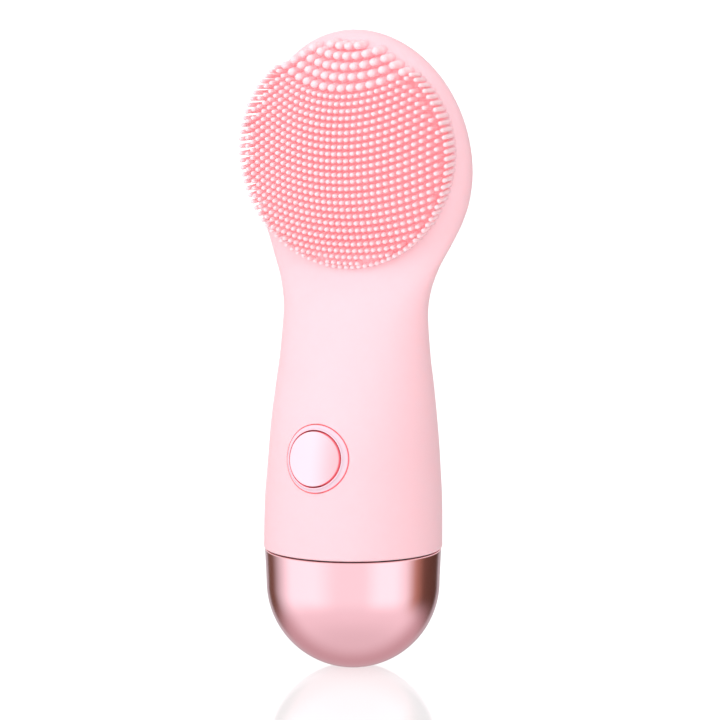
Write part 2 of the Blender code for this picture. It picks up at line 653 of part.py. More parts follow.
def make_wires(finishes):
    radius = 0.6
    for name, side, finish in (("motor_lead_red", 1.0, "red_wire"),
                               ("motor_lead_black", -1.0, "black_wire")):
        route = ((7.5, -4.9, 69.0), (9.4, -3.6, 76.0), (10.4, -1.0, 88.0), (10.0, 1.6, 98.0),
                 (8.0, 3.8, 108.0), (3.2, 4.9, 117.4))
        wire(name, [(side * x, y, z) for x, y, z in route], radius, finishes[finish])
    wire("battery_lead_red", ((0.0, -2.9, 93.6), (0.2, -4.9, 91.6), (0.8, -5.35, 84.0),
                              (2.0, -5.0, 76.0), (3.0, -4.9, 69.5)), radius, finishes["red_wire"])
    wire("battery_lead_black", ((0.0, -1.0, 44.2), (-1.5, -3.6, 44.3), (-2.8, -5.0, 46.2),
                                (-3.0, -4.95, 49.5)), radius, finishes["black_wire"])
    wire("charge_lead", ((5.0, -3.5, 33.9), (5.2, -4.2, 37.0), (5.4, -4.8, 42.0),
                         (5.6, -4.9, 47.5)), radius, finishes["black_wire"])


def main():
    clear_scene()
    finishes = make_finishes()
    make_sleeve(finishes)
    make_bristle_fields(finishes)
    make_button(finishes)
    make_shells(finishes)
    make_shell_screws(finishes)
    make_threaded_neck(finishes)
    make_seals(finishes)
    make_cap(finishes)
    make_cell(finishes)
    make_boards(finishes)
    make_motor(finishes)
    make_wires(finishes)


main()
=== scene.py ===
"""The looks of a facial cleansing brush, laid out as an add-on and run as a script."""

import json
import math

import bmesh
import bpy
import numpy as np
from bpy.props import FloatProperty, FloatVectorProperty, IntProperty, PointerProperty
from mathutils import Matrix, Vector


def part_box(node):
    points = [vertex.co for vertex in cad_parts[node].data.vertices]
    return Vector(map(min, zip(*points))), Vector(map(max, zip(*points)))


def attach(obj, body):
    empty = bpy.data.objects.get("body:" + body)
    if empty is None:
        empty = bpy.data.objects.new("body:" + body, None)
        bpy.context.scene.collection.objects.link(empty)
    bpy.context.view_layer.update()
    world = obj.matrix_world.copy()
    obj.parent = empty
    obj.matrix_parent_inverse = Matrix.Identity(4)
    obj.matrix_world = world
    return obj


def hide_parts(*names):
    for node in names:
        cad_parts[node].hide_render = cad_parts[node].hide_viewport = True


bl_info = {
    "name": "Facial Cleansing Brush",
    "version": (1, 0, 0),
    "blender": (4, 5, 0),
    "location": "3D View > Sidebar > Face Brush",
    "description": "Models and dresses a silicone face brush around its frame",
    "category": "Object",
}

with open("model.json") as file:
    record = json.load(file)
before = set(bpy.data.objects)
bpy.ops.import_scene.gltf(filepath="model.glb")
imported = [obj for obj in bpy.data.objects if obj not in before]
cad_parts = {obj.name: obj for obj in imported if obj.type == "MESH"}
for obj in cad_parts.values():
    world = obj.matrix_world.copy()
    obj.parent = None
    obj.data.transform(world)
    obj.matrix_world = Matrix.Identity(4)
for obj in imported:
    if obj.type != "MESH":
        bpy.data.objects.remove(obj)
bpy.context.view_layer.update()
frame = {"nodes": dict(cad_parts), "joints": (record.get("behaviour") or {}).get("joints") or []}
MM = 0.001

# ---- places taken from the frame, in millimetres ----


def box_mm(node):
    low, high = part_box(node)
    return low / MM, high / MM


SLEEVE_LOW, SLEEVE_HIGH = box_mm("silicone_sleeve")
_, CAP_HIGH = box_mm("base_cap")
RING_LOW, RING_HIGH = box_mm("button_ring")
PRESS_AXIS = Vector(next(j["axis"] for j in frame["joints"] if j["name"] == "button_press"))

SLEEVE_BOTTOM = SLEEVE_LOW.z
HEAD_HALF_WIDTH = SLEEVE_HIGH.x
DOME_TOP = CAP_HIGH.z
DOME_RIM_RADIUS = CAP_HIGH.x
RING_RADIUS = (RING_HIGH.x - RING_LOW.x) / 2

# ---- the skin's form: the same stations as the frame's sleeve, in millimetres ----

SLEEVE_WALL = 1.8
HEAD_MIDDLE = 129.4
HEAD_RISE = 36.0
HEAD_FRONT_DEPTH = 14.5
HEAD_BACK_DEPTH = 11.3
HEAD_PLANE = 5.8
TOP_PLANE_SHIFT = 2.5

# height, half width, widest plane, front and back of the skin, up to its widest part
SKIN_STATIONS = (
    (31.1, 23.1, 0.0, -23.1, 23.1),
    (42.5, 22.9, 0.2, -22.9, 23.5),
    (55.0, 22.1, 0.6, -22.0, 23.2),
    (64.5, 21.6, 0.8, -20.2, 21.5),
    (73.5, 20.9, 1.1, -17.5, 19.5),
    (82.0, 20.2, 1.4, -14.6, 16.8),
    (92.5, 19.9, 1.6, -11.0, 13.9),
    (98.0, 20.7, 1.5, -8.4, 13.6),
    (104.5, 23.0, 1.8, -4.9, 13.9),
    (110.5, 25.8, 3.5, -4.4, 15.0),
    (117.0, 28.7, 4.9, -6.5, 16.1),
    (123.0, 30.4, 5.5, -8.2, 16.9),
    (129.4, 31.0, 5.8, -8.7, 17.1),
)

# ---- the bristle field, in millimetres ----

FIELD_CENTRE_Z = 133.65
FIELD_RADIUS = 28.5            # where the outer ring of bristles is rooted
ROW_BORDER = FIELD_RADIUS - 0.95
NUB_BORDER = FIELD_RADIUS + 0.65
TIP_CROWN_RADIUS = 60.0
TIP_APEX_Y = -13.6
TOP_ROW = 15.65                # the first fine row, above the field's centre, on the middle line
TOP_ROW_RADIUS = 35.0          # its radius; lower rows are flatter
ROW_RADIUS_GAIN = 0.82
# height of each nub row above the field's centre, and its nubs per side
NUB_ROWS = ((17.85, 7), (20.55, 6), (23.15, 5), (25.75, 4), (28.15, 3))
NUB_PITCH = 2.56
TEMPLATE_LENGTH = 5.0          # of a bristle or nub before it is stretched to its place
ROOT_DEPTH = 0.35              # how far a bristle is sunk in the skin

# ---- the button, in millimetres ----

BUTTON_CENTRE = Vector((0.0, -21.8, 57.3))
RING_WIDTH = 1.35
HOLE_GAP = 0.22                # between the ring and the skin's hole
HOLE_RADIUS = RING_RADIUS + HOLE_GAP
CAP_CLEARANCE = 0.35           # between the ring and the button's cap

PAINTED_GLOW = 0.42                    # strength of the painted glow, emission in place of light through the silicone
MERGE_DISTANCE = 0.001 * MM


def station_value(height, column):
    rows = SKIN_STATIONS
    k = 0
    while k < len(rows) - 2 and height > rows[k + 1][0]:
        k += 1

    def rise(i):
        return (rows[i + 1][column] - rows[i][column]) / (rows[i + 1][0] - rows[i][0])

    def slope(i):
        if i == 0 or i == len(rows) - 1:
            return 0.0
        before, after = rise(i - 1), rise(i)
        if before * after <= 0.0:
            return 0.0
        return 2.0 * before * after / (before + after)

    span = rows[k + 1][0] - rows[k][0]
    t = min(max((height - rows[k][0]) / span, 0.0), 1.0)
    low, high = rows[k][column], rows[k + 1][column]
    return (low * (1 + 2 * t) * (1 - t) ** 2 + high * t * t * (3 - 2 * t)
            + span * (slope(k) * t * (1 - t) ** 2 + slope(k + 1) * t * t * (t - 1)))


def skin_section(height):
    """Half width, widest plane, front depth and back depth of the skin at a height."""
    if height <= HEAD_MIDDLE:
        half_width, plane, front, back = (station_value(height, k) for k in (1, 2, 3, 4))
        return half_width, plane, plane - front, back - plane
    lift = min((height - HEAD_MIDDLE) / HEAD_RISE, 1.0)
    narrowing = math.sqrt(max(1.0 - lift * lift, 0.0))
    plane = HEAD_PLANE - TOP_PLANE_SHIFT * lift * lift
    return (HEAD_HALF_WIDTH * narrowing, plane,
            HEAD_FRONT_DEPTH * narrowing ** 1.1, HEAD_BACK_DEPTH * narrowing ** 0.95)


def skin_front(x, z):
    half_width, plane, front, _ = skin_section(z)
    return plane - front * math.sqrt(max(1.0 - (x / half_width) ** 2, 0.0))


def tip_surface(x, z):
    across = min(x * x + (z - FIELD_CENTRE_Z) ** 2, TIP_CROWN_RADIUS ** 2 * 0.5)
    return TIP_APEX_Y + TIP_CROWN_RADIUS - math.sqrt(TIP_CROWN_RADIUS ** 2 - across)


# ---- what a user would change ----

class SkinSettings(bpy.types.PropertyGroup):
    colour: FloatVectorProperty(
        name="Skin Colour", description="Colour of the silicone skin",
        subtype="COLOR", size=3, min=0.0, max=1.0, default=(0.95, 0.575, 0.615))
    shade_colour: FloatVectorProperty(
        name="Cloud Colour", description="Second tone of the faint clouding in the silicone",
        subtype="COLOR", size=3, min=0.0, max=1.0, default=(0.945, 0.56, 0.60))
    # Painted shade: the deeper coral of the skin under the bristles stands in for shade and light
    # bouncing between them.
    bed_shade_colour: FloatVectorProperty(
        name="Bed Colour", description="Colour of the skin between the bristles",
        subtype="COLOR", size=3, min=0.0, max=1.0, default=(0.99, 0.40, 0.43))
    # Painted shade: deep red on the edge of the button's hole stands in for shade in the gap round
    # the button.
    gap_shade_colour: FloatVectorProperty(
        name="Gap Colour", description="Colour of the skin's edge inside the gap at the button",
        subtype="COLOR", size=3, min=0.0, max=1.0, default=(0.95, 0.12, 0.14))
    roughness: FloatProperty(
        name="Roughness", description="How matte the silicone is", min=0.0, max=1.0, default=0.52)
    segments: IntProperty(
        name="Segments", description="Corners round the skin", min=24, max=192, default=112)


class BristleSettings(bpy.types.PropertyGroup):
    # Painted shade: the bristles' own pink is painted deeper coral at the roots, in place of shade
    # and light bouncing between them.
    root_shade_colour: FloatVectorProperty(
        name="Root Colour", description="Colour deep between the bristles",
        subtype="COLOR", size=3, min=0.0, max=1.0, default=(0.99, 0.40, 0.43))
    tip_colour: FloatVectorProperty(
        name="Tip Colour", description="Colour of the rounded tips",
        subtype="COLOR", size=3, min=0.0, max=1.0, default=(0.98, 0.67, 0.70))
    thickness: FloatProperty(
        name="Thickness", description="Bristle thickness near its tip",
        subtype="DISTANCE", min=0.0004, max=0.002, default=0.00122)
    row_pitch: FloatProperty(
        name="Row Pitch", description="Distance between rows",
        subtype="DISTANCE", min=0.001, max=0.004, default=0.00179)
    pitch: FloatProperty(
        name="Pitch", description="Distance between bristles along a row",
        subtype="DISTANCE", min=0.001, max=0.004, default=0.0017)
    nub_thickness: FloatProperty(
        name="Nub Thickness", description="Thickness of the large nubs near the top",
        subtype="DISTANCE", min=0.001, max=0.004, default=0.0021)
    flare: FloatProperty(
        name="Flare", description="How far the outer bristles lean outwards",
        subtype="ANGLE", min=0.0, max=0.6, default=math.radians(9.0))


class ButtonSettings(bpy.types.PropertyGroup):
    face_colour: FloatVectorProperty(
        name="Face Colour", description="Colour of the button's face",
        subtype="COLOR", size=3, min=0.0, max=1.0, default=(0.88, 0.63, 0.70))
    # Painted shade: the darker pink at the face's right side stands in for the curved face turning
    # from the light.
    face_shade_colour: FloatVectorProperty(
        name="Second Face Colour", description="Tone of the pearly face at its right side",
        subtype="COLOR", size=3, min=0.0, max=1.0, default=(0.93, 0.43, 0.47))
    # Painted shade: the walls in the button's gaps are coloured dark red in place of the shade
    # there.
    gap_shade_colour: FloatVectorProperty(
        name="Gap Colour", description="Colour of the walls in the gaps of the button",
        subtype="COLOR", size=3, min=0.0, max=1.0, default=(0.82, 0.20, 0.24))
    ring_colour: FloatVectorProperty(
        name="Ring Colour", description="Colour of the ring round the button",
        subtype="COLOR", size=3, min=0.0, max=1.0, default=(0.79, 0.58, 0.66))
    seal_colour: FloatVectorProperty(
        name="Seal Colour", description="Colour seen in the gaps round the button",
        subtype="COLOR", size=3, min=0.0, max=1.0, default=(0.85, 0.10, 0.12))


class DomeSettings(bpy.types.PropertyGroup):
    colour: FloatVectorProperty(
        name="Metal Colour", description="Colour of the satin metal",
        subtype="COLOR", size=3, min=0.0, max=1.0, default=(0.88, 0.53, 0.56))
    roughness: FloatProperty(
        name="Roughness", description="How satin the metal is", min=0.0, max=1.0, default=0.2)
    segments: IntProperty(
        name="Segments", description="Corners round the dome", min=24, max=256, default=128)


class StageSettings(bpy.types.PropertyGroup):
    view_turn: FloatProperty(
        name="View Turn", description="How far the view is turned to the brush's right side",
        subtype="ANGLE", default=math.radians(27.0))
    view_rise: FloatProperty(
        name="View Rise", description="How far the view looks down",
        subtype="ANGLE", default=math.radians(8.6))
    distance: FloatProperty(
        name="Distance", description="From the camera to the brush",
        subtype="DISTANCE", default=2.2)
    picture_height: FloatProperty(
        name="Picture Height", description="Height of the view at the brush",
        subtype="DISTANCE", default=0.1858)
    floor_colour: FloatVectorProperty(
        name="Floor Colour", description="Colour of the plain floor",
        subtype="COLOR", size=3, min=0.0, max=1.0, default=(0.34, 0.34, 0.34))


# ---- modelling helpers ----

def deselect_everything():
    if bpy.context.object and bpy.context.object.mode != "OBJECT":
        bpy.ops.object.mode_set(mode="OBJECT")
    bpy.ops.object.select_all(action="DESELECT")


def start_point(name, spot):
    """A mesh of one point in edit mode, from a tiny plane merged at its middle."""
    deselect_everything()
    bpy.ops.mesh.primitive_plane_add(size=MM, location=(0.0, 0.0, 0.0))
    piece = bpy.context.object
    piece.name = name
    piece.data.name = name
    bpy.ops.object.mode_set(mode="EDIT")
    bpy.ops.mesh.select_all(action="SELECT")
    bpy.ops.mesh.merge(type="CENTER")
    bpy.ops.transform.translate(value=tuple(Vector(spot) * MM))
    return piece


def draw_outline(name, outline):
    """A chain of edges through (radius, height) points, extruded one after the other."""
    spots = [Vector((radius, 0.0, height)) for radius, height in outline]
    piece = start_point(name, spots[0])
    for before, after in zip(spots, spots[1:]):
        bpy.ops.mesh.extrude_region_move(
            TRANSFORM_OT_translate={"value": tuple((after - before) * MM)})
    return piece


def clean_up():
    bpy.ops.mesh.select_all(action="SELECT")
    bpy.ops.mesh.remove_doubles(threshold=MERGE_DISTANCE)
    bpy.ops.mesh.normals_make_consistent(inside=False)
    bpy.ops.object.mode_set(mode="OBJECT")


def turn_piece(name, outline, segments, closed=True):
    """Spin an outline about Z into a solid; a closed outline comes back to its first point."""
    points = list(outline)
    if closed and points[0] != points[-1]:
        points.append(points[0])
    piece = draw_outline(name, points)
    bpy.ops.mesh.select_all(action="SELECT")
    bpy.ops.mesh.spin(steps=segments, angle=2.0 * math.pi, center=(0.0, 0.0, 0.0),
                      axis=(0.0, 0.0, 1.0))
    clean_up()
    return piece


def smooth(piece, angle=math.radians(38.0)):
    deselect_everything()
    piece.select_set(True)
    bpy.context.view_layer.objects.active = piece
    bpy.ops.object.shade_smooth_by_angle(angle=angle)


def settle(piece):
    """Apply the piece's place, so that its object is left at the origin, unturned."""
    deselect_everything()
    piece.select_set(True)
    bpy.context.view_layer.objects.active = piece
    bpy.ops.object.transform_apply(location=True, rotation=True, scale=True)


def cut_away(piece, cutter):
    step = piece.modifiers.new("cut", "BOOLEAN")
    step.operation = "DIFFERENCE"
    step.solver = "EXACT"
    step.object = cutter
    deselect_everything()
    piece.select_set(True)
    bpy.context.view_layer.objects.active = piece
    bpy.ops.object.modifier_apply(modifier=step.name)
    bpy.data.objects.remove(cutter, do_unlink=True)


def arc(centre_r, centre_z, radius, start_deg, end_deg, steps):
    points = []
    for i in range(steps + 1):
        angle = math.radians(start_deg + (end_deg - start_deg) * i / steps)
        points.append((centre_r + radius * math.cos(angle), centre_z + radius * math.sin(angle)))
    return points


def follow_skin(piece, above):
    """Bend the side of a turned button piece above a height to the curve of the skin round it."""
    outward = -PRESS_AXIS.normalized()
    for vertex in piece.data.vertices:
        if vertex.co.z > above * MM:
            up = vertex.co.y / MM
            flat = BUTTON_CENTRE.y + up * outward.z
            curved = skin_front(vertex.co.x / MM, BUTTON_CENTRE.z - up * outward.y)
            vertex.co.z += (curved - flat) * outward.y * MM


def lay_on_button(piece):
    """Turn a piece modelled about Z, with its top towards +Y, onto the button's axis."""
    outward = -PRESS_AXIS.normalized()
    upward = Vector((0.0, outward.z, -outward.y))
    turn = Matrix((upward.cross(outward), upward, outward)).transposed()
    piece.rotation_mode = "QUATERNION"
    piece.rotation_quaternion = turn.to_quaternion()
    piece.location = BUTTON_CENTRE * MM
    settle(piece)


# ---- materials ----

def new_material(name):
    material = bpy.data.materials.new(name)
    material.use_nodes = True
    nodes = material.node_tree.nodes
    return material, nodes, material.node_tree.links, nodes["Principled BSDF"]


def noise_node(nodes, links, scale, detail, roughness=0.5, stretch=(1.0, 1.0, 1.0)):
    place = nodes.new("ShaderNodeTexCoord")
    mapping = nodes.new("ShaderNodeMapping")
    mapping.inputs["Scale"].default_value = stretch
    noise = nodes.new("ShaderNodeTexNoise")
    noise.inputs["Scale"].default_value = scale
    noise.inputs["Detail"].default_value = detail
    noise.inputs["Roughness"].default_value = roughness
    links.new(place.outputs["Object"], mapping.inputs["Vector"])
    links.new(mapping.outputs["Vector"], noise.inputs["Vector"])
    return noise


def bump_from(nodes, links, source, shader, distance, strength):
    bump = nodes.new("ShaderNodeBump")
    bump.inputs["Distance"].default_value = distance
    bump.inputs["Strength"].default_value = strength
    links.new(source, bump.inputs["Height"])
    links.new(bump.outputs["Normal"], shader.inputs["Normal"])


def spread(nodes, links, source, low, high):
    """Map a 0..1 value onto a range."""
    ranged = nodes.new("ShaderNodeMapRange")
    ranged.inputs["To Min"].default_value = low
    ranged.inputs["To Max"].default_value = high
    links.new(source, ranged.inputs["Value"])
    return ranged.outputs["Result"]


def mix_colours(nodes, links, factor, first, second):
    mix = nodes.new("ShaderNodeMix")
    mix.data_type = "RGBA"
    for socket, value in ((mix.inputs[6], first), (mix.inputs[7], second)):
        if isinstance(value, bpy.types.NodeSocket):
            links.new(value, socket)
        else:
            socket.default_value = (*value, 1.0)
    links.new(factor, mix.inputs[0])
    return mix.outputs[2]


def field_distance(nodes, links):
    """Distance from the middle of the bristle field, across the head, in metres."""
    place = nodes.new("ShaderNodeTexCoord")
    shift = nodes.new("ShaderNodeMapping")
    shift.inputs["Location"].default_value = (0.0, 0.0, -FIELD_CENTRE_Z * MM)
    flatten = nodes.new("ShaderNodeVectorMath")
    flatten.operation = "MULTIPLY"
    flatten.inputs[1].default_value = (1.0, 0.0, 1.0)
    length = nodes.new("ShaderNodeVectorMath")
    length.operation = "LENGTH"
    links.new(place.outputs["Object"], shift.inputs["Vector"])
    links.new(shift.outputs["Vector"], flatten.inputs[0])
    links.new(flatten.outputs["Vector"], length.inputs[0])
    return place, length.outputs["Value"]


def fade_in_field(nodes, links, distance, inner, outer):
    """1 inside the field, 0 outside it."""
    fade = nodes.new("ShaderNodeMapRange")
    fade.interpolation_type = "SMOOTHSTEP"
    fade.inputs["From Min"].default_value = inner * MM
    fade.inputs["From Max"].default_value = outer * MM
    fade.inputs["To Min"].default_value = 1.0
    fade.inputs["To Max"].default_value = 0.0
    links.new(distance, fade.inputs["Value"])
    return fade.outputs["Result"]


def painted_glow(nodes, links, shader, share, colour):
    """Painted light: a faint emission standing in for light coming through the silicone and light
    in the gaps; these parts are no lamps.
    """
    shader.inputs["Emission Color"].default_value = (*(channel ** 1.5 for channel in colour), 1.0)
    scaled = nodes.new("ShaderNodeMath")
    scaled.operation = "MULTIPLY"
    scaled.inputs[1].default_value = PAINTED_GLOW
    links.new(share, scaled.inputs[0])
    links.new(scaled.outputs["Value"], shader.inputs["Emission Strength"])


def skin_material(settings):
    material, nodes, links, shader = new_material("matte_pink_silicone")
    clouds = noise_node(nodes, links, 45.0, 3.0)
    tone = mix_colours(nodes, links, clouds.outputs["Fac"], settings.colour, settings.shade_colour)
    # Painted shade: the skin under the bristles is coloured deeper coral, in place of shade and
    # light bouncing between them.
    place, distance = field_distance(nodes, links)
    inside = fade_in_field(nodes, links, distance, FIELD_RADIUS - 2.6, FIELD_RADIUS - 0.2)
    split = nodes.new("ShaderNodeSeparateXYZ")
    links.new(place.outputs["Object"], split.inputs["Vector"])
    front = nodes.new("ShaderNodeMath")
    front.operation = "LESS_THAN"
    front.inputs[1].default_value = 4.0 * MM
    links.new(split.outputs["Y"], front.inputs[0])
    bed_shade_mask = nodes.new("ShaderNodeMath")
    bed_shade_mask.operation = "MULTIPLY"
    links.new(inside, bed_shade_mask.inputs[0])
    links.new(front.outputs["Value"], bed_shade_mask.inputs[1])
    colour = mix_colours(nodes, links, bed_shade_mask.outputs["Value"], tone, settings.bed_shade_colour)
    # Painted shade: deep red on the edge of the button's hole, in place of shade in the gap.
    gap_shade_mask = step_between(nodes, links, button_distance(nodes, links), 0.0, HOLE_RADIUS + 0.02)
    colour = mix_colours(nodes, links, gap_shade_mask, colour, settings.gap_shade_colour)
    links.new(colour, shader.inputs["Base Color"])
    # Painted glow on the bed and the hole's edge: emission in place of light through the silicone.
    painted_glow_share = nodes.new("ShaderNodeMath")
    painted_glow_share.operation = "MAXIMUM"
    links.new(bed_shade_mask.outputs["Value"], painted_glow_share.inputs[0])
    links.new(gap_shade_mask, painted_glow_share.inputs[1])
    painted_glow(nodes, links, shader, painted_glow_share.outputs["Value"], settings.bed_shade_colour)
    shader.inputs["Roughness"].default_value = settings.roughness
    shader.inputs["Subsurface Weight"].default_value = 0.35
    shader.inputs["Subsurface Radius"].default_value = (1.0, 0.45, 0.4)
    shader.inputs["Subsurface Scale"].default_value = 0.0022
    shader.inputs["Specular IOR Level"].default_value = 0.35
    shader.inputs["Sheen Weight"].default_value = 0.12
    shader.inputs["Sheen Roughness"].default_value = 0.45
    grain = noise_node(nodes, links, 2600.0, 2.0)
    bump_from(nodes, links, grain.outputs["Fac"], shader, 0.00003, 0.25)
    return material


def bristle_material(name, settings, root_fade):
    material, nodes, links, shader = new_material(name)
    height = nodes.new("ShaderNodeAttribute")
    height.attribute_name = "height"
    # Painted shade: from the tip colour at the tips to a deeper coral at the roots, in place of
    # shade and light bouncing between the bristles.
    root_shade_ramp = nodes.new("ShaderNodeValToRGB")
    root_shade_ramp.color_ramp.interpolation = "EASE"
    root_shade_ramp.color_ramp.elements[0].position = 0.0
    root_shade_ramp.color_ramp.elements[0].color = (0.0, 0.0, 0.0, 1.0)
    root_shade_ramp.color_ramp.elements[1].position = 0.34
    root_shade_ramp.color_ramp.elements[1].color = (1.0, 1.0, 1.0, 1.0)
    links.new(height.outputs["Fac"], root_shade_ramp.inputs["Fac"])
    _, distance = field_distance(nodes, links)
    inside = fade_in_field(nodes, links, distance, root_fade - 2.4, root_fade)
    skin_tone = bpy.context.scene.face_brush_skin.colour
    root = mix_colours(nodes, links, inside, skin_tone, settings.root_shade_colour)
    # Painted glow low on the bristles inside the field: emission in place of light through the
    # silicone.
    low = spread(nodes, links, height.outputs["Fac"], 1.0, -0.45)
    painted_glow_share = nodes.new("ShaderNodeMath")
    painted_glow_share.operation = "MULTIPLY"
    painted_glow_share.use_clamp = True
    links.new(low, painted_glow_share.inputs[0])
    links.new(inside, painted_glow_share.inputs[1])
    painted_glow(nodes, links, shader, painted_glow_share.outputs["Value"], settings.root_shade_colour)
    colour = mix_colours(nodes, links, root_shade_ramp.outputs["Color"], root, settings.tip_colour)
    links.new(colour, shader.inputs["Base Color"])
    shader.inputs["Roughness"].default_value = 0.42
    shader.inputs["Subsurface Weight"].default_value = 0.25
    shader.inputs["Subsurface Radius"].default_value = (1.0, 0.5, 0.45)
    shader.inputs["Subsurface Scale"].default_value = 0.0008
    shader.inputs["Specular IOR Level"].default_value = 0.4
    grain = noise_node(nodes, links, 3200.0, 1.0)
    bump_from(nodes, links, grain.outputs["Fac"], shader, 0.00002, 0.2)
    return material


def button_distance(nodes, links):
    """Distance from the button's axis near the button, in metres, and more far behind it."""
    place = nodes.new("ShaderNodeTexCoord")
    offset = nodes.new("ShaderNodeVectorMath")
    offset.operation = "SUBTRACT"
    offset.inputs[1].default_value = BUTTON_CENTRE * MM
    across = nodes.new("ShaderNodeVectorMath")
    across.operation = "CROSS_PRODUCT"
    across.inputs[1].default_value = PRESS_AXIS.normalized()
    links.new(place.outputs["Object"], offset.inputs[0])
    links.new(offset.outputs["Vector"], across.inputs[0])
    lengths = []
    for vector in (across, offset):
        length = nodes.new("ShaderNodeVectorMath")
        length.operation = "LENGTH"
        links.new(vector.outputs["Vector"], length.inputs[0])
        lengths.append(length.outputs["Value"])
    nearer = nodes.new("ShaderNodeMath")
    nearer.operation = "SUBTRACT"
    nearer.inputs[1].default_value = 2.5 * MM
    links.new(lengths[1], nearer.inputs[0])
    distance = nodes.new("ShaderNodeMath")
    distance.operation = "MAXIMUM"
    links.new(lengths[0], distance.inputs[0])
    links.new(nearer.outputs["Value"], distance.inputs[1])
    return distance.outputs["Value"]


def step_between(nodes, links, value, low, high):
    """1 between two distances in millimetres from the button's axis, else 0."""
    window = nodes.new("ShaderNodeMath")
    window.operation = "COMPARE"
    window.inputs[1].default_value = (low + high) / 2 * MM
    window.inputs[2].default_value = (high - low) / 2 * MM
    links.new(value, window.inputs[0])
    return window.outputs["Value"]


def gloss_with_painted_shade(name, colour, second, walls, roughness, coat, wall_shade_colour):
    """Glossy plastic whose tone goes to a second one towards +X, painted shade where a curved face
    turns from the light, with painted shade on the walls in the gaps: a dark red in place of the
    shade there.

    walls holds (near, far) distances from the button's axis; the last of them also gets the
    painted glow.
    """
    material, nodes, links, shader = new_material(name)
    place = nodes.new("ShaderNodeTexCoord")
    split = nodes.new("ShaderNodeSeparateXYZ")
    links.new(place.outputs["Object"], split.inputs["Vector"])
    # Painted shade: darker and pinker towards +X, in place of the curved face turning from the
    # light.
    across = nodes.new("ShaderNodeMapRange")
    across.interpolation_type = "SMOOTHSTEP"
    across.inputs["From Min"].default_value = -1.0 * MM
    across.inputs["From Max"].default_value = 8.0 * MM
    links.new(split.outputs["X"], across.inputs["Value"])
    tone = mix_colours(nodes, links, across.outputs["Result"], colour, second)
    distance = button_distance(nodes, links)
    # Painted shade: the walls in the gaps are coloured dark red, in place of the shade there.
    for low, high in walls:
        gap_shade_mask = step_between(nodes, links, distance, low, high)
        tone = mix_colours(nodes, links, gap_shade_mask, tone, wall_shade_colour)
    links.new(tone, shader.inputs["Base Color"])
    # Painted glow on the last wall: emission in place of light in the gap.
    painted_glow(nodes, links, shader, gap_shade_mask, tuple(channel * 1.2 for channel in wall_shade_colour))
    shader.inputs["Coat Weight"].default_value = coat
    shader.inputs["Coat Roughness"].default_value = 0.06
    fine = noise_node(nodes, links, 1800.0, 2.0)
    rough = spread(nodes, links, fine.outputs["Fac"], roughness * 0.92, roughness * 1.08)
    links.new(rough, shader.inputs["Roughness"])
    return material


def plastic_material(name, colour, roughness):
    material, nodes, links, shader = new_material(name)
    mottled = noise_node(nodes, links, 160.0, 2.0)
    darker = tuple(channel * 0.97 for channel in colour)
    tone = mix_colours(nodes, links, mottled.outputs["Fac"], colour, darker)
    links.new(tone, shader.inputs["Base Color"])
    fine = noise_node(nodes, links, 1800.0, 2.0)
    rough = spread(nodes, links, fine.outputs["Fac"], roughness * 0.92, roughness * 1.08)
    links.new(rough, shader.inputs["Roughness"])
    bump_from(nodes, links, fine.outputs["Fac"], shader, 0.00002, 0.08)
    return material


def metal_material(name, colour, roughness, turned=False):
    material, nodes, links, shader = new_material(name)
    shader.inputs["Metallic"].default_value = 1.0
    stretch = (1.0, 1.0, 9.0) if turned else (1.0, 1.0, 1.0)
    fine = noise_node(nodes, links, 900.0, 3.0, 0.6, stretch)
    darker = tuple(channel * 0.96 for channel in colour)
    tone = mix_colours(nodes, links, fine.outputs["Fac"], colour, darker)
    links.new(tone, shader.inputs["Base Color"])
    rough = spread(nodes, links, fine.outputs["Fac"], roughness * 0.85, roughness * 1.15)
    links.new(rough, shader.inputs["Roughness"])
    bump_from(nodes, links, fine.outputs["Fac"], shader, 0.000008, 0.25)
    return material


def dress(piece, material):
    piece.data.materials.clear()
    piece.data.materials.append(material)


def dress_node(node, material):
    thing = frame["nodes"][node]
    if not thing.material_slots:
        thing.data.materials.append(material)
    for slot in thing.material_slots:
        slot.material = material


# ---- the silicone skin ----

def skin_route():
    """(height, inset) of each ring: down the inside, round the lower lip and up the outside."""
    inside_tops = [(HEAD_MIDDLE + HEAD_RISE * math.sin(math.radians(88.0 - 11.0 * i)), SLEEVE_WALL)
                   for i in range(8)]
    inside = [(HEAD_MIDDLE - (HEAD_MIDDLE - SLEEVE_BOTTOM) * i / 14, SLEEVE_WALL)
              for i in range(14)]
    lip_radius = 0.55
    lip_inner = [(SLEEVE_BOTTOM + 0.5, SLEEVE_WALL), (SLEEVE_BOTTOM, SLEEVE_WALL - 0.3)]
    lip = []
    for i in range(6):
        angle = math.radians(90.0 * i / 5)
        lip.append((SLEEVE_BOTTOM + lip_radius * (1.0 - math.cos(angle)),
                    lip_radius * (1.0 - math.sin(angle))))
    rise = HEAD_MIDDLE - SLEEVE_BOTTOM - 1.0
    outside = [(SLEEVE_BOTTOM + 1.0 + rise * i / 46, 0.0) for i in range(46)]
    outside_top = [(HEAD_MIDDLE + HEAD_RISE * math.sin(math.radians(89.0 * i / 26)), 0.0)
                   for i in range(27)]
    return inside_tops + inside + lip_inner + lip + outside + outside_top


def ring_point(height, inset, angle):
    half_width, plane, front, back = skin_section(height)
    z = height
    if height > HEAD_MIDDLE:
        lift = (height - HEAD_MIDDLE) / HEAD_RISE
        z = height - inset * lift
        inset = inset * math.sqrt(max(1.0 - lift * lift, 0.0))
    depth = (back if math.sin(angle) > 0 else front) - inset
    return Vector(((half_width - inset) * math.cos(angle), plane + depth * math.sin(angle), z))


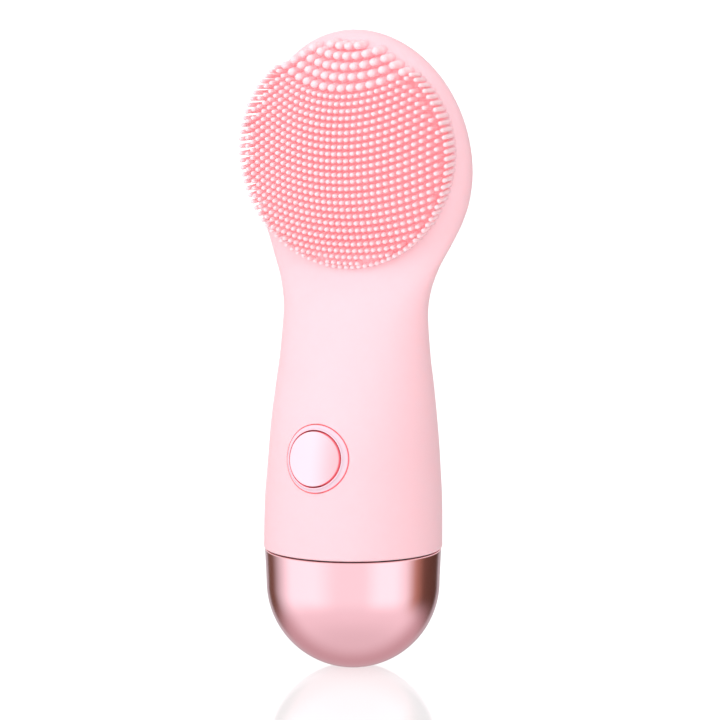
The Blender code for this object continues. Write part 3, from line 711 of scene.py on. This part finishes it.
def shape_ring(mesh, height, inset, segments):
    """Put the selected ring's points on the skin's section at a height."""
    ring = [vertex for vertex in mesh.verts if vertex.select]
    middle = sum((vertex.co for vertex in ring), Vector()) / len(ring)
    ring.sort(key=lambda vertex: math.atan2(vertex.co.y - middle.y, vertex.co.x - middle.x))
    for i, vertex in enumerate(ring):
        angle = 2.0 * math.pi * (i + 0.5) / segments - math.pi
        vertex.co = ring_point(height, inset, angle) * MM


def build_skin_form(settings):
    deselect_everything()
    route = skin_route()
    segments = settings.segments
    bpy.ops.mesh.primitive_circle_add(vertices=segments, radius=2.0 * MM,
                                      location=(0.0, 0.0, 0.0))
    piece = bpy.context.object
    piece.name = "silicone_skin"
    piece.data.name = "silicone_skin"
    bpy.ops.object.mode_set(mode="EDIT")
    bpy.ops.mesh.select_all(action="SELECT")
    mesh = bmesh.from_edit_mesh(piece.data)
    shape_ring(mesh, *route[0], segments)
    for height, inset in route[1:]:
        bpy.ops.mesh.extrude_region_move(TRANSFORM_OT_translate={"value": (0.0, 0.0, 0.0001)})
        mesh = bmesh.from_edit_mesh(piece.data)
        shape_ring(mesh, height, inset, segments)
    bmesh.update_edit_mesh(piece.data)
    close_pole(piece, HEAD_MIDDLE + HEAD_RISE)
    mesh = bmesh.from_edit_mesh(piece.data)
    bpy.ops.mesh.select_all(action="DESELECT")
    for edge in mesh.edges:
        if edge.is_boundary:
            edge.select_set(True)
    bmesh.update_edit_mesh(piece.data)
    close_pole(piece, HEAD_MIDDLE + HEAD_RISE - SLEEVE_WALL)
    clean_up()
    return piece


def close_pole(piece, height):
    """Draw the selected ring in to one point at the top."""
    bpy.ops.mesh.extrude_region_move(TRANSFORM_OT_translate={"value": (0.0, 0.0, 0.0)})
    bpy.ops.mesh.merge(type="CENTER")
    mesh = bmesh.from_edit_mesh(piece.data)
    for vertex in mesh.verts:
        if vertex.select:
            vertex.co.z = height * MM
    bmesh.update_edit_mesh(piece.data)


class FACEBRUSH_OT_skin(bpy.types.Operator):
    """Model the silicone skin from rings and cut its button hole"""
    bl_idname = "face_brush.make_skin"
    bl_label = "Silicone Skin"

    def execute(self, context):
        settings = context.scene.face_brush_skin
        skin = build_skin_form(settings)
        cutter = turn_piece("button_hole", ((0.0, -6.0), (HOLE_RADIUS, -6.0),
                                            (HOLE_RADIUS, 6.0), (0.0, 6.0)), 96)
        lay_on_button(cutter)
        cut_away(skin, cutter)
        smooth(skin, math.radians(50.0))
        dress(skin, skin_material(settings))
        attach(skin, "handle")
        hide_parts("silicone_sleeve")
        return {"FINISHED"}


# ---- bristles and nubs ----

def bristle_template(name, radius, length, segments):
    """One upright bristle: a flared root, a slim shaft and a rounded tip."""
    tip = radius * 0.95
    outline = [(radius * 1.35, 0.0), (radius * 1.08, length * 0.14), (radius, length * 0.62),
               (tip, length - tip), (tip * 0.72, length - tip * 0.32), (0.0, length)]
    piece = turn_piece(name, outline, segments, closed=False)
    points = np.array([vertex.co[:] for vertex in piece.data.vertices]) / MM
    faces = [tuple(face.vertices) for face in piece.data.polygons]
    bpy.data.objects.remove(piece, do_unlink=True)
    return points, faces


def lean(x, z, flare):
    """Direction of a bristle: straight out of the field, leaning outwards towards its edge."""
    across = Vector((x, 0.0, z - FIELD_CENTRE_Z))
    share = min(across.length / FIELD_RADIUS, 1.2)
    if across.length < 0.01:
        return Vector((0.0, -1.0, 0.0))
    sideways = math.sin(flare * share ** 2)
    return (Vector((0.0, -1.0, 0.0)) + across.normalized() * sideways).normalized()


def plant(name, template, roots, flare):
    """One mesh of many copies of the template, each stretched to reach the crown of tips."""
    points, faces = template
    all_points, all_faces, heights = [], [], []
    for x, z in roots:
        root = Vector((x, skin_front(x, z) + ROOT_DEPTH, z))
        direction = lean(x, z, flare)
        length = (root.y - tip_surface(x, z)) / -direction.y
        turn = Vector((0.0, 0.0, 1.0)).rotation_difference(direction).to_matrix()
        stretched = points.copy()
        upper = points[:, 2] > TEMPLATE_LENGTH * 0.7
        stretched[upper, 2] += length - TEMPLATE_LENGTH
        stretched[~upper, 2] *= (length / TEMPLATE_LENGTH)
        placed = stretched @ np.array(turn).T + np.array(root)
        start = sum(len(block) for block in all_points)
        all_points.append(placed)
        all_faces += [tuple(index + start for index in face) for face in faces]
        heights.append(stretched[:, 2] / length)
    mesh = bpy.data.meshes.new(name)
    mesh.from_pydata((np.concatenate(all_points) * MM).tolist(), [], all_faces)
    layer = mesh.attributes.new("height", "FLOAT", "POINT")
    layer.data.foreach_set("value", np.concatenate(heights).astype(np.float32))
    mesh.update()
    piece = bpy.data.objects.new(name, mesh)
    bpy.context.scene.collection.objects.link(piece)
    smooth(piece, math.radians(60.0))
    return piece


def row_radius(row_height):
    return TOP_ROW_RADIUS + ROW_RADIUS_GAIN * (TOP_ROW - row_height)


def fine_roots(settings):
    """Rows on arcs about a point above the head, with an outer ring that follows the border."""
    row_pitch, pitch = settings.row_pitch / MM, settings.pitch / MM
    roots = []
    height = TOP_ROW
    lowest_nub = NUB_ROWS[0][0]
    while height > -FIELD_RADIUS:
        radius = row_radius(height)
        x = pitch / 2
        while x < FIELD_RADIUS:
            level = height + radius - math.sqrt(radius ** 2 - x * x)
            if math.hypot(x, level) < ROW_BORDER:
                roots += [(x, FIELD_CENTRE_Z + level), (-x, FIELD_CENTRE_Z + level)]
            x += pitch
        height -= row_pitch
    count = int(2.0 * math.pi * FIELD_RADIUS / row_pitch)
    for i in range(count):
        angle = 2.0 * math.pi * (i + 0.5) / count
        x, level = FIELD_RADIUS * math.sin(angle), -FIELD_RADIUS * math.cos(angle)
        nub_edge = lowest_nub + row_radius(lowest_nub) - math.sqrt(
            max(row_radius(lowest_nub) ** 2 - x * x, 0.0))
        if level < nub_edge - 0.9:
            roots.append((x, FIELD_CENTRE_Z + level))
    return roots


def nub_roots():
    roots = []
    for height, per_side in NUB_ROWS:
        radius = row_radius(height)
        for k in range(per_side):
            x = NUB_PITCH * (k + 0.5)
            level = height + radius - math.sqrt(radius ** 2 - x * x)
            if math.hypot(x, level) < NUB_BORDER:
                roots += [(x, FIELD_CENTRE_Z + level), (-x, FIELD_CENTRE_Z + level)]
    return roots


class FACEBRUSH_OT_bristles(bpy.types.Operator):
    """Plant the fine bristles in arcs on the head"""
    bl_idname = "face_brush.plant_bristles"
    bl_label = "Fine Bristles"

    def execute(self, context):
        settings = context.scene.face_brush_bristles
        radius = settings.thickness / MM / 2
        template = bristle_template("one_bristle", radius, TEMPLATE_LENGTH, 10)
        field = plant("fine_bristles", template, fine_roots(settings), settings.flare)
        dress(field, bristle_material("bristle_silicone", settings, FIELD_RADIUS + 0.6))
        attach(field, "handle")
        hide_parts("bristle_pad")
        return {"FINISHED"}


class FACEBRUSH_OT_nubs(bpy.types.Operator):
    """Plant the thick nubs at the top of the head"""
    bl_idname = "face_brush.plant_nubs"
    bl_label = "Thick Nubs"

    def execute(self, context):
        settings = context.scene.face_brush_bristles
        radius = settings.nub_thickness / MM / 2
        template = bristle_template("one_nub", radius, TEMPLATE_LENGTH, 16)
        field = plant("thick_nubs", template, nub_roots(), settings.flare * 0.4)
        dress(field, bristle_material("nub_silicone", settings, FIELD_RADIUS + 1.6))
        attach(field, "handle")
        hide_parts("scrub_nubs")
        return {"FINISHED"}


# ---- button ----

class FACEBRUSH_OT_button(bpy.types.Operator):
    """Turn the button's ring and its domed cap"""
    bl_idname = "face_brush.make_button"
    bl_label = "Power Button"

    def execute(self, context):
        settings = context.scene.face_brush_button
        outer = RING_RADIUS
        inner = outer - RING_WIDTH
        ring_outline = [(inner, -3.0), (outer, -3.0), (outer, -0.05), (outer - 0.06, 0.14)]
        ring_outline += arc(outer - 0.36, 0.06, 0.34, 35.0, 90.0, 4)
        ring_outline += [(outer - 0.62, 0.52), (outer - 0.86, 0.78)]
        ring_outline += arc(inner + 0.27, 0.90, 0.26, 75.0, 180.0, 7)
        ring = turn_piece("button_bezel", ring_outline, 128)
        follow_skin(ring, -1.0)
        lay_on_button(ring)
        smooth(ring)
        dress(ring, gloss_with_painted_shade("gloss_lavender_white", settings.ring_colour,
                                   settings.ring_colour,
                                   ((0.0, inner + 0.03), (outer - 0.04, outer + 1.0)),
                                   0.14, 0.6, settings.gap_shade_colour))
        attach(ring, "handle")
        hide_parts("button_ring")

        rim = inner - CAP_CLEARANCE
        cap_outline = [(0.0, -4.6), (1.6, -4.6), (1.6, -1.2), (rim - 0.3, -1.2), (rim, -0.9)]
        cap_outline += arc(rim - 0.24, 1.28, 0.24, 0.0, 90.0, 7)
        cap_outline += [(rim * share, 1.6 - 0.08 * share * share)
                        for share in (0.9, 0.75, 0.6, 0.45, 0.3, 0.15, 0.0)]
        cap = turn_piece("button_cap", cap_outline, 128)
        follow_skin(cap, 0.5)
        lay_on_button(cap)
        smooth(cap)
        dress(cap, gloss_with_painted_shade("satin_pink_white", settings.face_colour,
                                  settings.face_shade_colour, ((rim - 0.02, rim + 1.0),),
                                  0.3, 0.25, settings.gap_shade_colour))
        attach(cap, "button")
        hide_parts("power_button")
        dress_node("button_seal", plastic_material("coral_seal", settings.seal_colour, 0.5))
        return {"FINISHED"}


# ---- dome ----

def dome_outline():
    """Foot, round bottom, slightly flared wall, bright lip, and down the inside."""
    foot, sphere = 3.5, 22.4
    centre_z = math.sqrt(sphere ** 2 - foot ** 2)
    lowest = -math.degrees(math.acos(foot / sphere))
    outline = [(0.0, 0.0), (foot - 0.5, 0.0)]
    outline += arc(0.0, centre_z, sphere, lowest, 0.0, 36)
    outline += [(22.52, 25.0), (22.64, 27.5), (DOME_RIM_RADIUS - 0.08, DOME_TOP - 0.8)]
    lip = 0.32
    outline += arc(DOME_RIM_RADIUS - lip - 0.06, DOME_TOP - lip, lip, 0.0, 90.0, 6)
    outline += [(DOME_RIM_RADIUS - 1.5, DOME_TOP), (DOME_RIM_RADIUS - 1.6, DOME_TOP - 0.2),
                (DOME_RIM_RADIUS - 1.6, 24.0)]
    inner = sphere - 1.6
    outline += arc(0.0, centre_z, inner, 0.0, -84.0, 14)
    outline += [(0.0, centre_z - inner)]
    return outline


class FACEBRUSH_OT_dome(bpy.types.Operator):
    """Turn the metal dome that closes the handle"""
    bl_idname = "face_brush.make_dome"
    bl_label = "Metal Dome"

    def execute(self, context):
        settings = context.scene.face_brush_dome
        dome = turn_piece("metal_dome", dome_outline(), settings.segments)
        smooth(dome, math.radians(30.0))
        dress(dome, metal_material("satin_rose_metal", settings.colour, settings.roughness, True))
        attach(dome, "twist_cap")
        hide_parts("base_cap")
        return {"FINISHED"}


# ---- pieces that stay as the frame has them ----

PLAIN_FINISHES = (
    ("moulded_white_abs", "plastic", (0.80, 0.79, 0.77), 0.45,
     ("front_shell", "rear_shell", "threaded_neck", "cap_core", "battery_holder",
      "motor_end_cap")),
    ("nickel_steel", "metal", (0.63, 0.62, 0.60), 0.28,
     ("switch_body", "charge_socket", "battery_tab_bottom", "battery_tab_top", "motor_can",
      "motor_shaft", "eccentric_weight", "shell_screw_1", "shell_screw_2", "shell_screw_3",
      "shell_screw_4", "board_screw_1", "board_screw_2")),
    ("green_board", "plastic", (0.03, 0.21, 0.09), 0.38,
     ("control_board", "switch_board", "charge_board")),
    ("black_plastic", "plastic", (0.02, 0.02, 0.022), 0.42,
     ("control_chip", "switch_plunger", "motor_magnet")),
    ("blue_cell_wrap", "plastic", (0.06, 0.20, 0.46), 0.25, ("battery_cell",)),
    ("enamelled_copper", "metal", (0.74, 0.36, 0.20), 0.32, ("motor_armature",)),
    ("grey_rubber", "plastic", (0.16, 0.16, 0.17), 0.7,
     ("neck_seal_ring", "cap_gasket", "motor_cradle")),
    ("red_insulation", "plastic", (0.58, 0.03, 0.03), 0.4,
     ("motor_lead_red", "battery_lead_red")),
    ("black_insulation", "plastic", (0.02, 0.02, 0.02), 0.4,
     ("motor_lead_black", "battery_lead_black", "charge_lead")),
)


class FACEBRUSH_OT_inside(bpy.types.Operator):
    """Give the neck, seals, drive and electronics their finishes"""
    bl_idname = "face_brush.dress_inside"
    bl_label = "Inner Pieces"

    def execute(self, context):
        for name, kind, colour, roughness, nodes in PLAIN_FINISHES:
            if kind == "metal":
                material = metal_material(name, colour, roughness)
            else:
                material = plastic_material(name, colour, roughness)
            for node in nodes:
                dress_node(node, material)
        return {"FINISHED"}


# ---- stage ----

AIM_ASIDE = 0.00178            # where the camera aims, in metres
AIM_HEIGHT = 0.0800
SENSOR_WIDTH = 36.0


def view_direction(turn):
    """From the brush towards the camera, level."""
    return Vector((math.sin(turn), -math.cos(turn), 0.0))


def soft_box(name, stage, side_angle, distance, height, size, power):
    """A rectangular light at an angle from the camera's side of the brush, not reflected."""
    towards = view_direction(stage.view_turn)
    right = Vector((math.cos(stage.view_turn), math.sin(stage.view_turn), 0.0))
    angle = math.radians(side_angle)
    spot = (towards * math.cos(angle) + right * math.sin(angle)) * distance
    spot.z = height
    lamp = bpy.data.lights.new(name, "AREA")
    lamp.shape = "RECTANGLE"
    lamp.size, lamp.size_y = size
    lamp.energy = power
    thing = bpy.data.objects.new(name, lamp)
    bpy.context.scene.collection.objects.link(thing)
    thing.location = spot
    aim = Vector((0.0, 0.0, 0.085)) - spot
    thing.rotation_euler = aim.to_track_quat("-Z", "Y").to_euler()
    thing.visible_glossy = False


# angle from the camera's side in degrees, brightness and tint of the surroundings:
# SURROUNDINGS as the brush reflects them, SOFT_LIGHT as they light it
WARM = (1.0, 0.52, 0.36)
NEUTRAL = (0.97, 0.99, 1.03)
ROSE = (1.0, 0.84, 0.87)
SURROUNDINGS = (
    (-180.0, 0.50, ROSE), (-157.0, 0.70, NEUTRAL), (-151.0, 0.16, WARM),
    (-132.0, 0.20, WARM), (-114.0, 0.85, NEUTRAL), (-92.0, 1.55, NEUTRAL),
    (-52.0, 1.60, NEUTRAL), (-22.0, 1.25, NEUTRAL), (14.0, 1.25, NEUTRAL),
    (34.0, 1.60, NEUTRAL), (58.0, 1.60, NEUTRAL), (76.0, 1.20, NEUTRAL),
    (92.0, 0.55, WARM), (110.0, 0.15, WARM), (148.0, 0.09, WARM),
    (155.0, 0.60, NEUTRAL), (180.0, 0.50, ROSE),
)
SOFT_LIGHT = (
    (-180.0, 0.60, NEUTRAL), (-120.0, 0.75, NEUTRAL), (-60.0, 1.15, NEUTRAL),
    (0.0, 1.50, NEUTRAL), (30.0, 1.25, NEUTRAL), (75.0, 0.55, ROSE),
    (130.0, 0.30, ROSE), (180.0, 0.60, NEUTRAL),
)


def angle_round(nodes, links, direction, towards):
    """Where a direction lies round the brush: 0 and 1 behind it, 0.5 on the camera's side."""
    dots = []
    for axis in (towards.cross(Vector((0.0, 0.0, -1.0))), towards):
        dot = nodes.new("ShaderNodeVectorMath")
        dot.operation = "DOT_PRODUCT"
        dot.inputs[1].default_value = axis
        links.new(direction, dot.inputs[0])
        dots.append(dot.outputs["Value"])
    angle = nodes.new("ShaderNodeMath")
    angle.operation = "ARCTAN2"
    links.new(dots[0], angle.inputs[0])
    links.new(dots[1], angle.inputs[1])
    share = nodes.new("ShaderNodeMapRange")
    share.inputs["From Min"].default_value = -math.pi
    share.inputs["From Max"].default_value = math.pi
    links.new(angle.outputs["Value"], share.inputs["Value"])
    return share.outputs["Result"]


def by_height(nodes, links, height, low, high):
    """0 below one value, 1 above another, with a soft step between."""
    step = nodes.new("ShaderNodeMapRange")
    step.interpolation_type = "SMOOTHSTEP"
    step.inputs["From Min"].default_value = low
    step.inputs["From Max"].default_value = high
    links.new(height, step.inputs["Value"])
    return step.outputs["Result"]


def band_round(nodes, links, share, table):
    """Colours round the horizon from a table of angle, strength and tint."""
    band = nodes.new("ShaderNodeValToRGB")
    elements = band.color_ramp.elements
    for k, (angle, strength, tint) in enumerate(table):
        position = angle / 360.0 + 0.5
        element = elements[0] if k == 0 else elements.new(position)
        if k == len(table) - 1:
            elements.remove(element)
            element = elements[len(elements) - 1]
        element.position = position
        element.color = (*(channel * strength for channel in tint), 1.0)
    links.new(share, band.inputs["Fac"])
    return band.outputs["Color"]


def make_world(stage):
    """Surroundings in three forms: plain white to the camera, SOFT_LIGHT as diffuse light,
    and in reflections SURROUNDINGS, dimmed low down and behind, and white above the level.
    """
    world = bpy.data.worlds.new("studio")
    bpy.context.scene.world = world
    world.use_nodes = True
    nodes, links = world.node_tree.nodes, world.node_tree.links
    background = nodes["Background"]
    place = nodes.new("ShaderNodeTexCoord")
    share = angle_round(nodes, links, place.outputs["Generated"],
                        view_direction(stage.view_turn))
    band = band_round(nodes, links, share, SURROUNDINGS)
    split = nodes.new("ShaderNodeSeparateXYZ")
    links.new(place.outputs["Generated"], split.inputs["Vector"])
    height = split.outputs["Z"]
    behind = nodes.new("ShaderNodeVectorMath")
    behind.operation = "DOT_PRODUCT"
    behind.inputs[1].default_value = -view_direction(stage.view_turn)
    links.new(place.outputs["Generated"], behind.inputs[0])
    away = by_height(nodes, links, behind.outputs["Value"], -0.10, 0.60)
    under = mix_colours(nodes, links, by_height(nodes, links, height, -1.0, -0.6),
                        (0.92, 0.86, 0.90), (1.1, 1.05, 1.1))
    under = mix_colours(nodes, links, away, under, (0.66, 0.50, 0.53))
    below = mix_colours(nodes, links, by_height(nodes, links, height, -0.60, -0.28),
                        under, band)
    above = mix_colours(nodes, links, by_height(nodes, links, height, 0.01, 0.06),
                        below, (1.1, 1.1, 1.1))
    soft = band_round(nodes, links, share, SOFT_LIGHT)
    path = nodes.new("ShaderNodeLightPath")
    lit = mix_colours(nodes, links, path.outputs["Is Diffuse Ray"], above, soft)
    seen = mix_colours(nodes, links, path.outputs["Is Camera Ray"], lit, (1.0, 1.0, 1.0))
    links.new(seen, background.inputs["Color"])
    background.inputs["Strength"].default_value = 1.0


def make_floor(stage):
    deselect_everything()
    bpy.ops.mesh.primitive_circle_add(vertices=96, radius=4.0, fill_type="NGON")
    floor = bpy.context.object
    floor.name = "studio_floor"
    material, nodes, links, shader = new_material("pale_floor")
    mottled = noise_node(nodes, links, 3.0, 2.0)
    colour = tuple(stage.floor_colour)
    tone = mix_colours(nodes, links, mottled.outputs["Fac"], colour,
                       tuple(channel * 0.995 for channel in colour))
    links.new(tone, shader.inputs["Base Color"])
    shader.inputs["Emission Color"].default_value = (1.0, 1.0, 1.0, 1.0)
    shader.inputs["Emission Strength"].default_value = 0.58
    shader.inputs["Roughness"].default_value = 0.06
    shader.inputs["Specular IOR Level"].default_value = 0.25
    dress(floor, material)
    floor.visible_glossy = False


def make_camera(stage):
    turn, rise = stage.view_turn, stage.view_rise
    right = Vector((math.cos(turn), math.sin(turn), 0.0))
    towards = view_direction(turn) * math.cos(rise) + Vector((0.0, 0.0, math.sin(rise)))
    target = right * AIM_ASIDE + Vector((0.0, 0.0, AIM_HEIGHT))
    lens = bpy.data.cameras.new("view")
    lens.sensor_width = SENSOR_WIDTH
    lens.lens = SENSOR_WIDTH * stage.distance / stage.picture_height
    lens.clip_end = 50.0
    camera = bpy.data.objects.new("view", lens)
    bpy.context.scene.collection.objects.link(camera)
    camera.location = target + towards * stage.distance
    camera.rotation_euler = (-towards).to_track_quat("-Z", "Y").to_euler()
    bpy.context.scene.camera = camera


class FACEBRUSH_OT_stage(bpy.types.Operator):
    """Make the floor, the studio light and the camera"""
    bl_idname = "face_brush.make_stage"
    bl_label = "Stage"

    def execute(self, context):
        stage = context.scene.face_brush_stage
        make_world(stage)
        make_floor(stage)
        make_camera(stage)
        soft_box("left_box", stage, -60.0, 0.8, 0.30, (0.62, 0.9), 1.8)
        soft_box("front_box", stage, 8.0, 0.9, 0.35, (0.7, 0.9), 1.6)
        soft_box("top_box", stage, 0.0, 0.15, 0.95, (0.9, 0.9), 0.8)
        context.scene.view_settings.view_transform = "Standard"
        return {"FINISHED"}


class FACEBRUSH_PT_panel(bpy.types.Panel):
    """The brush's operators and settings"""
    bl_idname = "FACEBRUSH_PT_panel"
    bl_label = "Face Brush"
    bl_space_type = "VIEW_3D"
    bl_region_type = "UI"
    bl_category = "Face Brush"

    def draw(self, context):
        for operator in OPERATORS:
            self.layout.operator(operator.bl_idname)
        for group, _ in SETTINGS:
            settings = getattr(context.scene, group)
            for name in settings.bl_rna.properties.keys():
                if name not in ("rna_type", "name"):
                    self.layout.prop(settings, name)


SETTINGS = (
    ("face_brush_skin", SkinSettings),
    ("face_brush_bristles", BristleSettings),
    ("face_brush_button", ButtonSettings),
    ("face_brush_dome", DomeSettings),
    ("face_brush_stage", StageSettings),
)
OPERATORS = (
    FACEBRUSH_OT_skin,
    FACEBRUSH_OT_bristles,
    FACEBRUSH_OT_nubs,
    FACEBRUSH_OT_button,
    FACEBRUSH_OT_dome,
    FACEBRUSH_OT_inside,
    FACEBRUSH_OT_stage,
)


def register():
    for group, kind in SETTINGS:
        bpy.utils.register_class(kind)
        setattr(bpy.types.Scene, group, PointerProperty(type=kind))
    for operator in OPERATORS:
        bpy.utils.register_class(operator)
    bpy.utils.register_class(FACEBRUSH_PT_panel)


def unregister():
    bpy.utils.unregister_class(FACEBRUSH_PT_panel)
    for operator in reversed(OPERATORS):
        bpy.utils.unregister_class(operator)
    for group, kind in reversed(SETTINGS):
        delattr(bpy.types.Scene, group)
        bpy.utils.unregister_class(kind)


def main():
    register()
    bpy.ops.face_brush.make_skin()
    bpy.ops.face_brush.plant_bristles()
    bpy.ops.face_brush.plant_nubs()
    bpy.ops.face_brush.make_button()
    bpy.ops.face_brush.make_dome()
    bpy.ops.face_brush.dress_inside()
    bpy.ops.face_brush.make_stage()


if __name__ == "__main__":
    main()
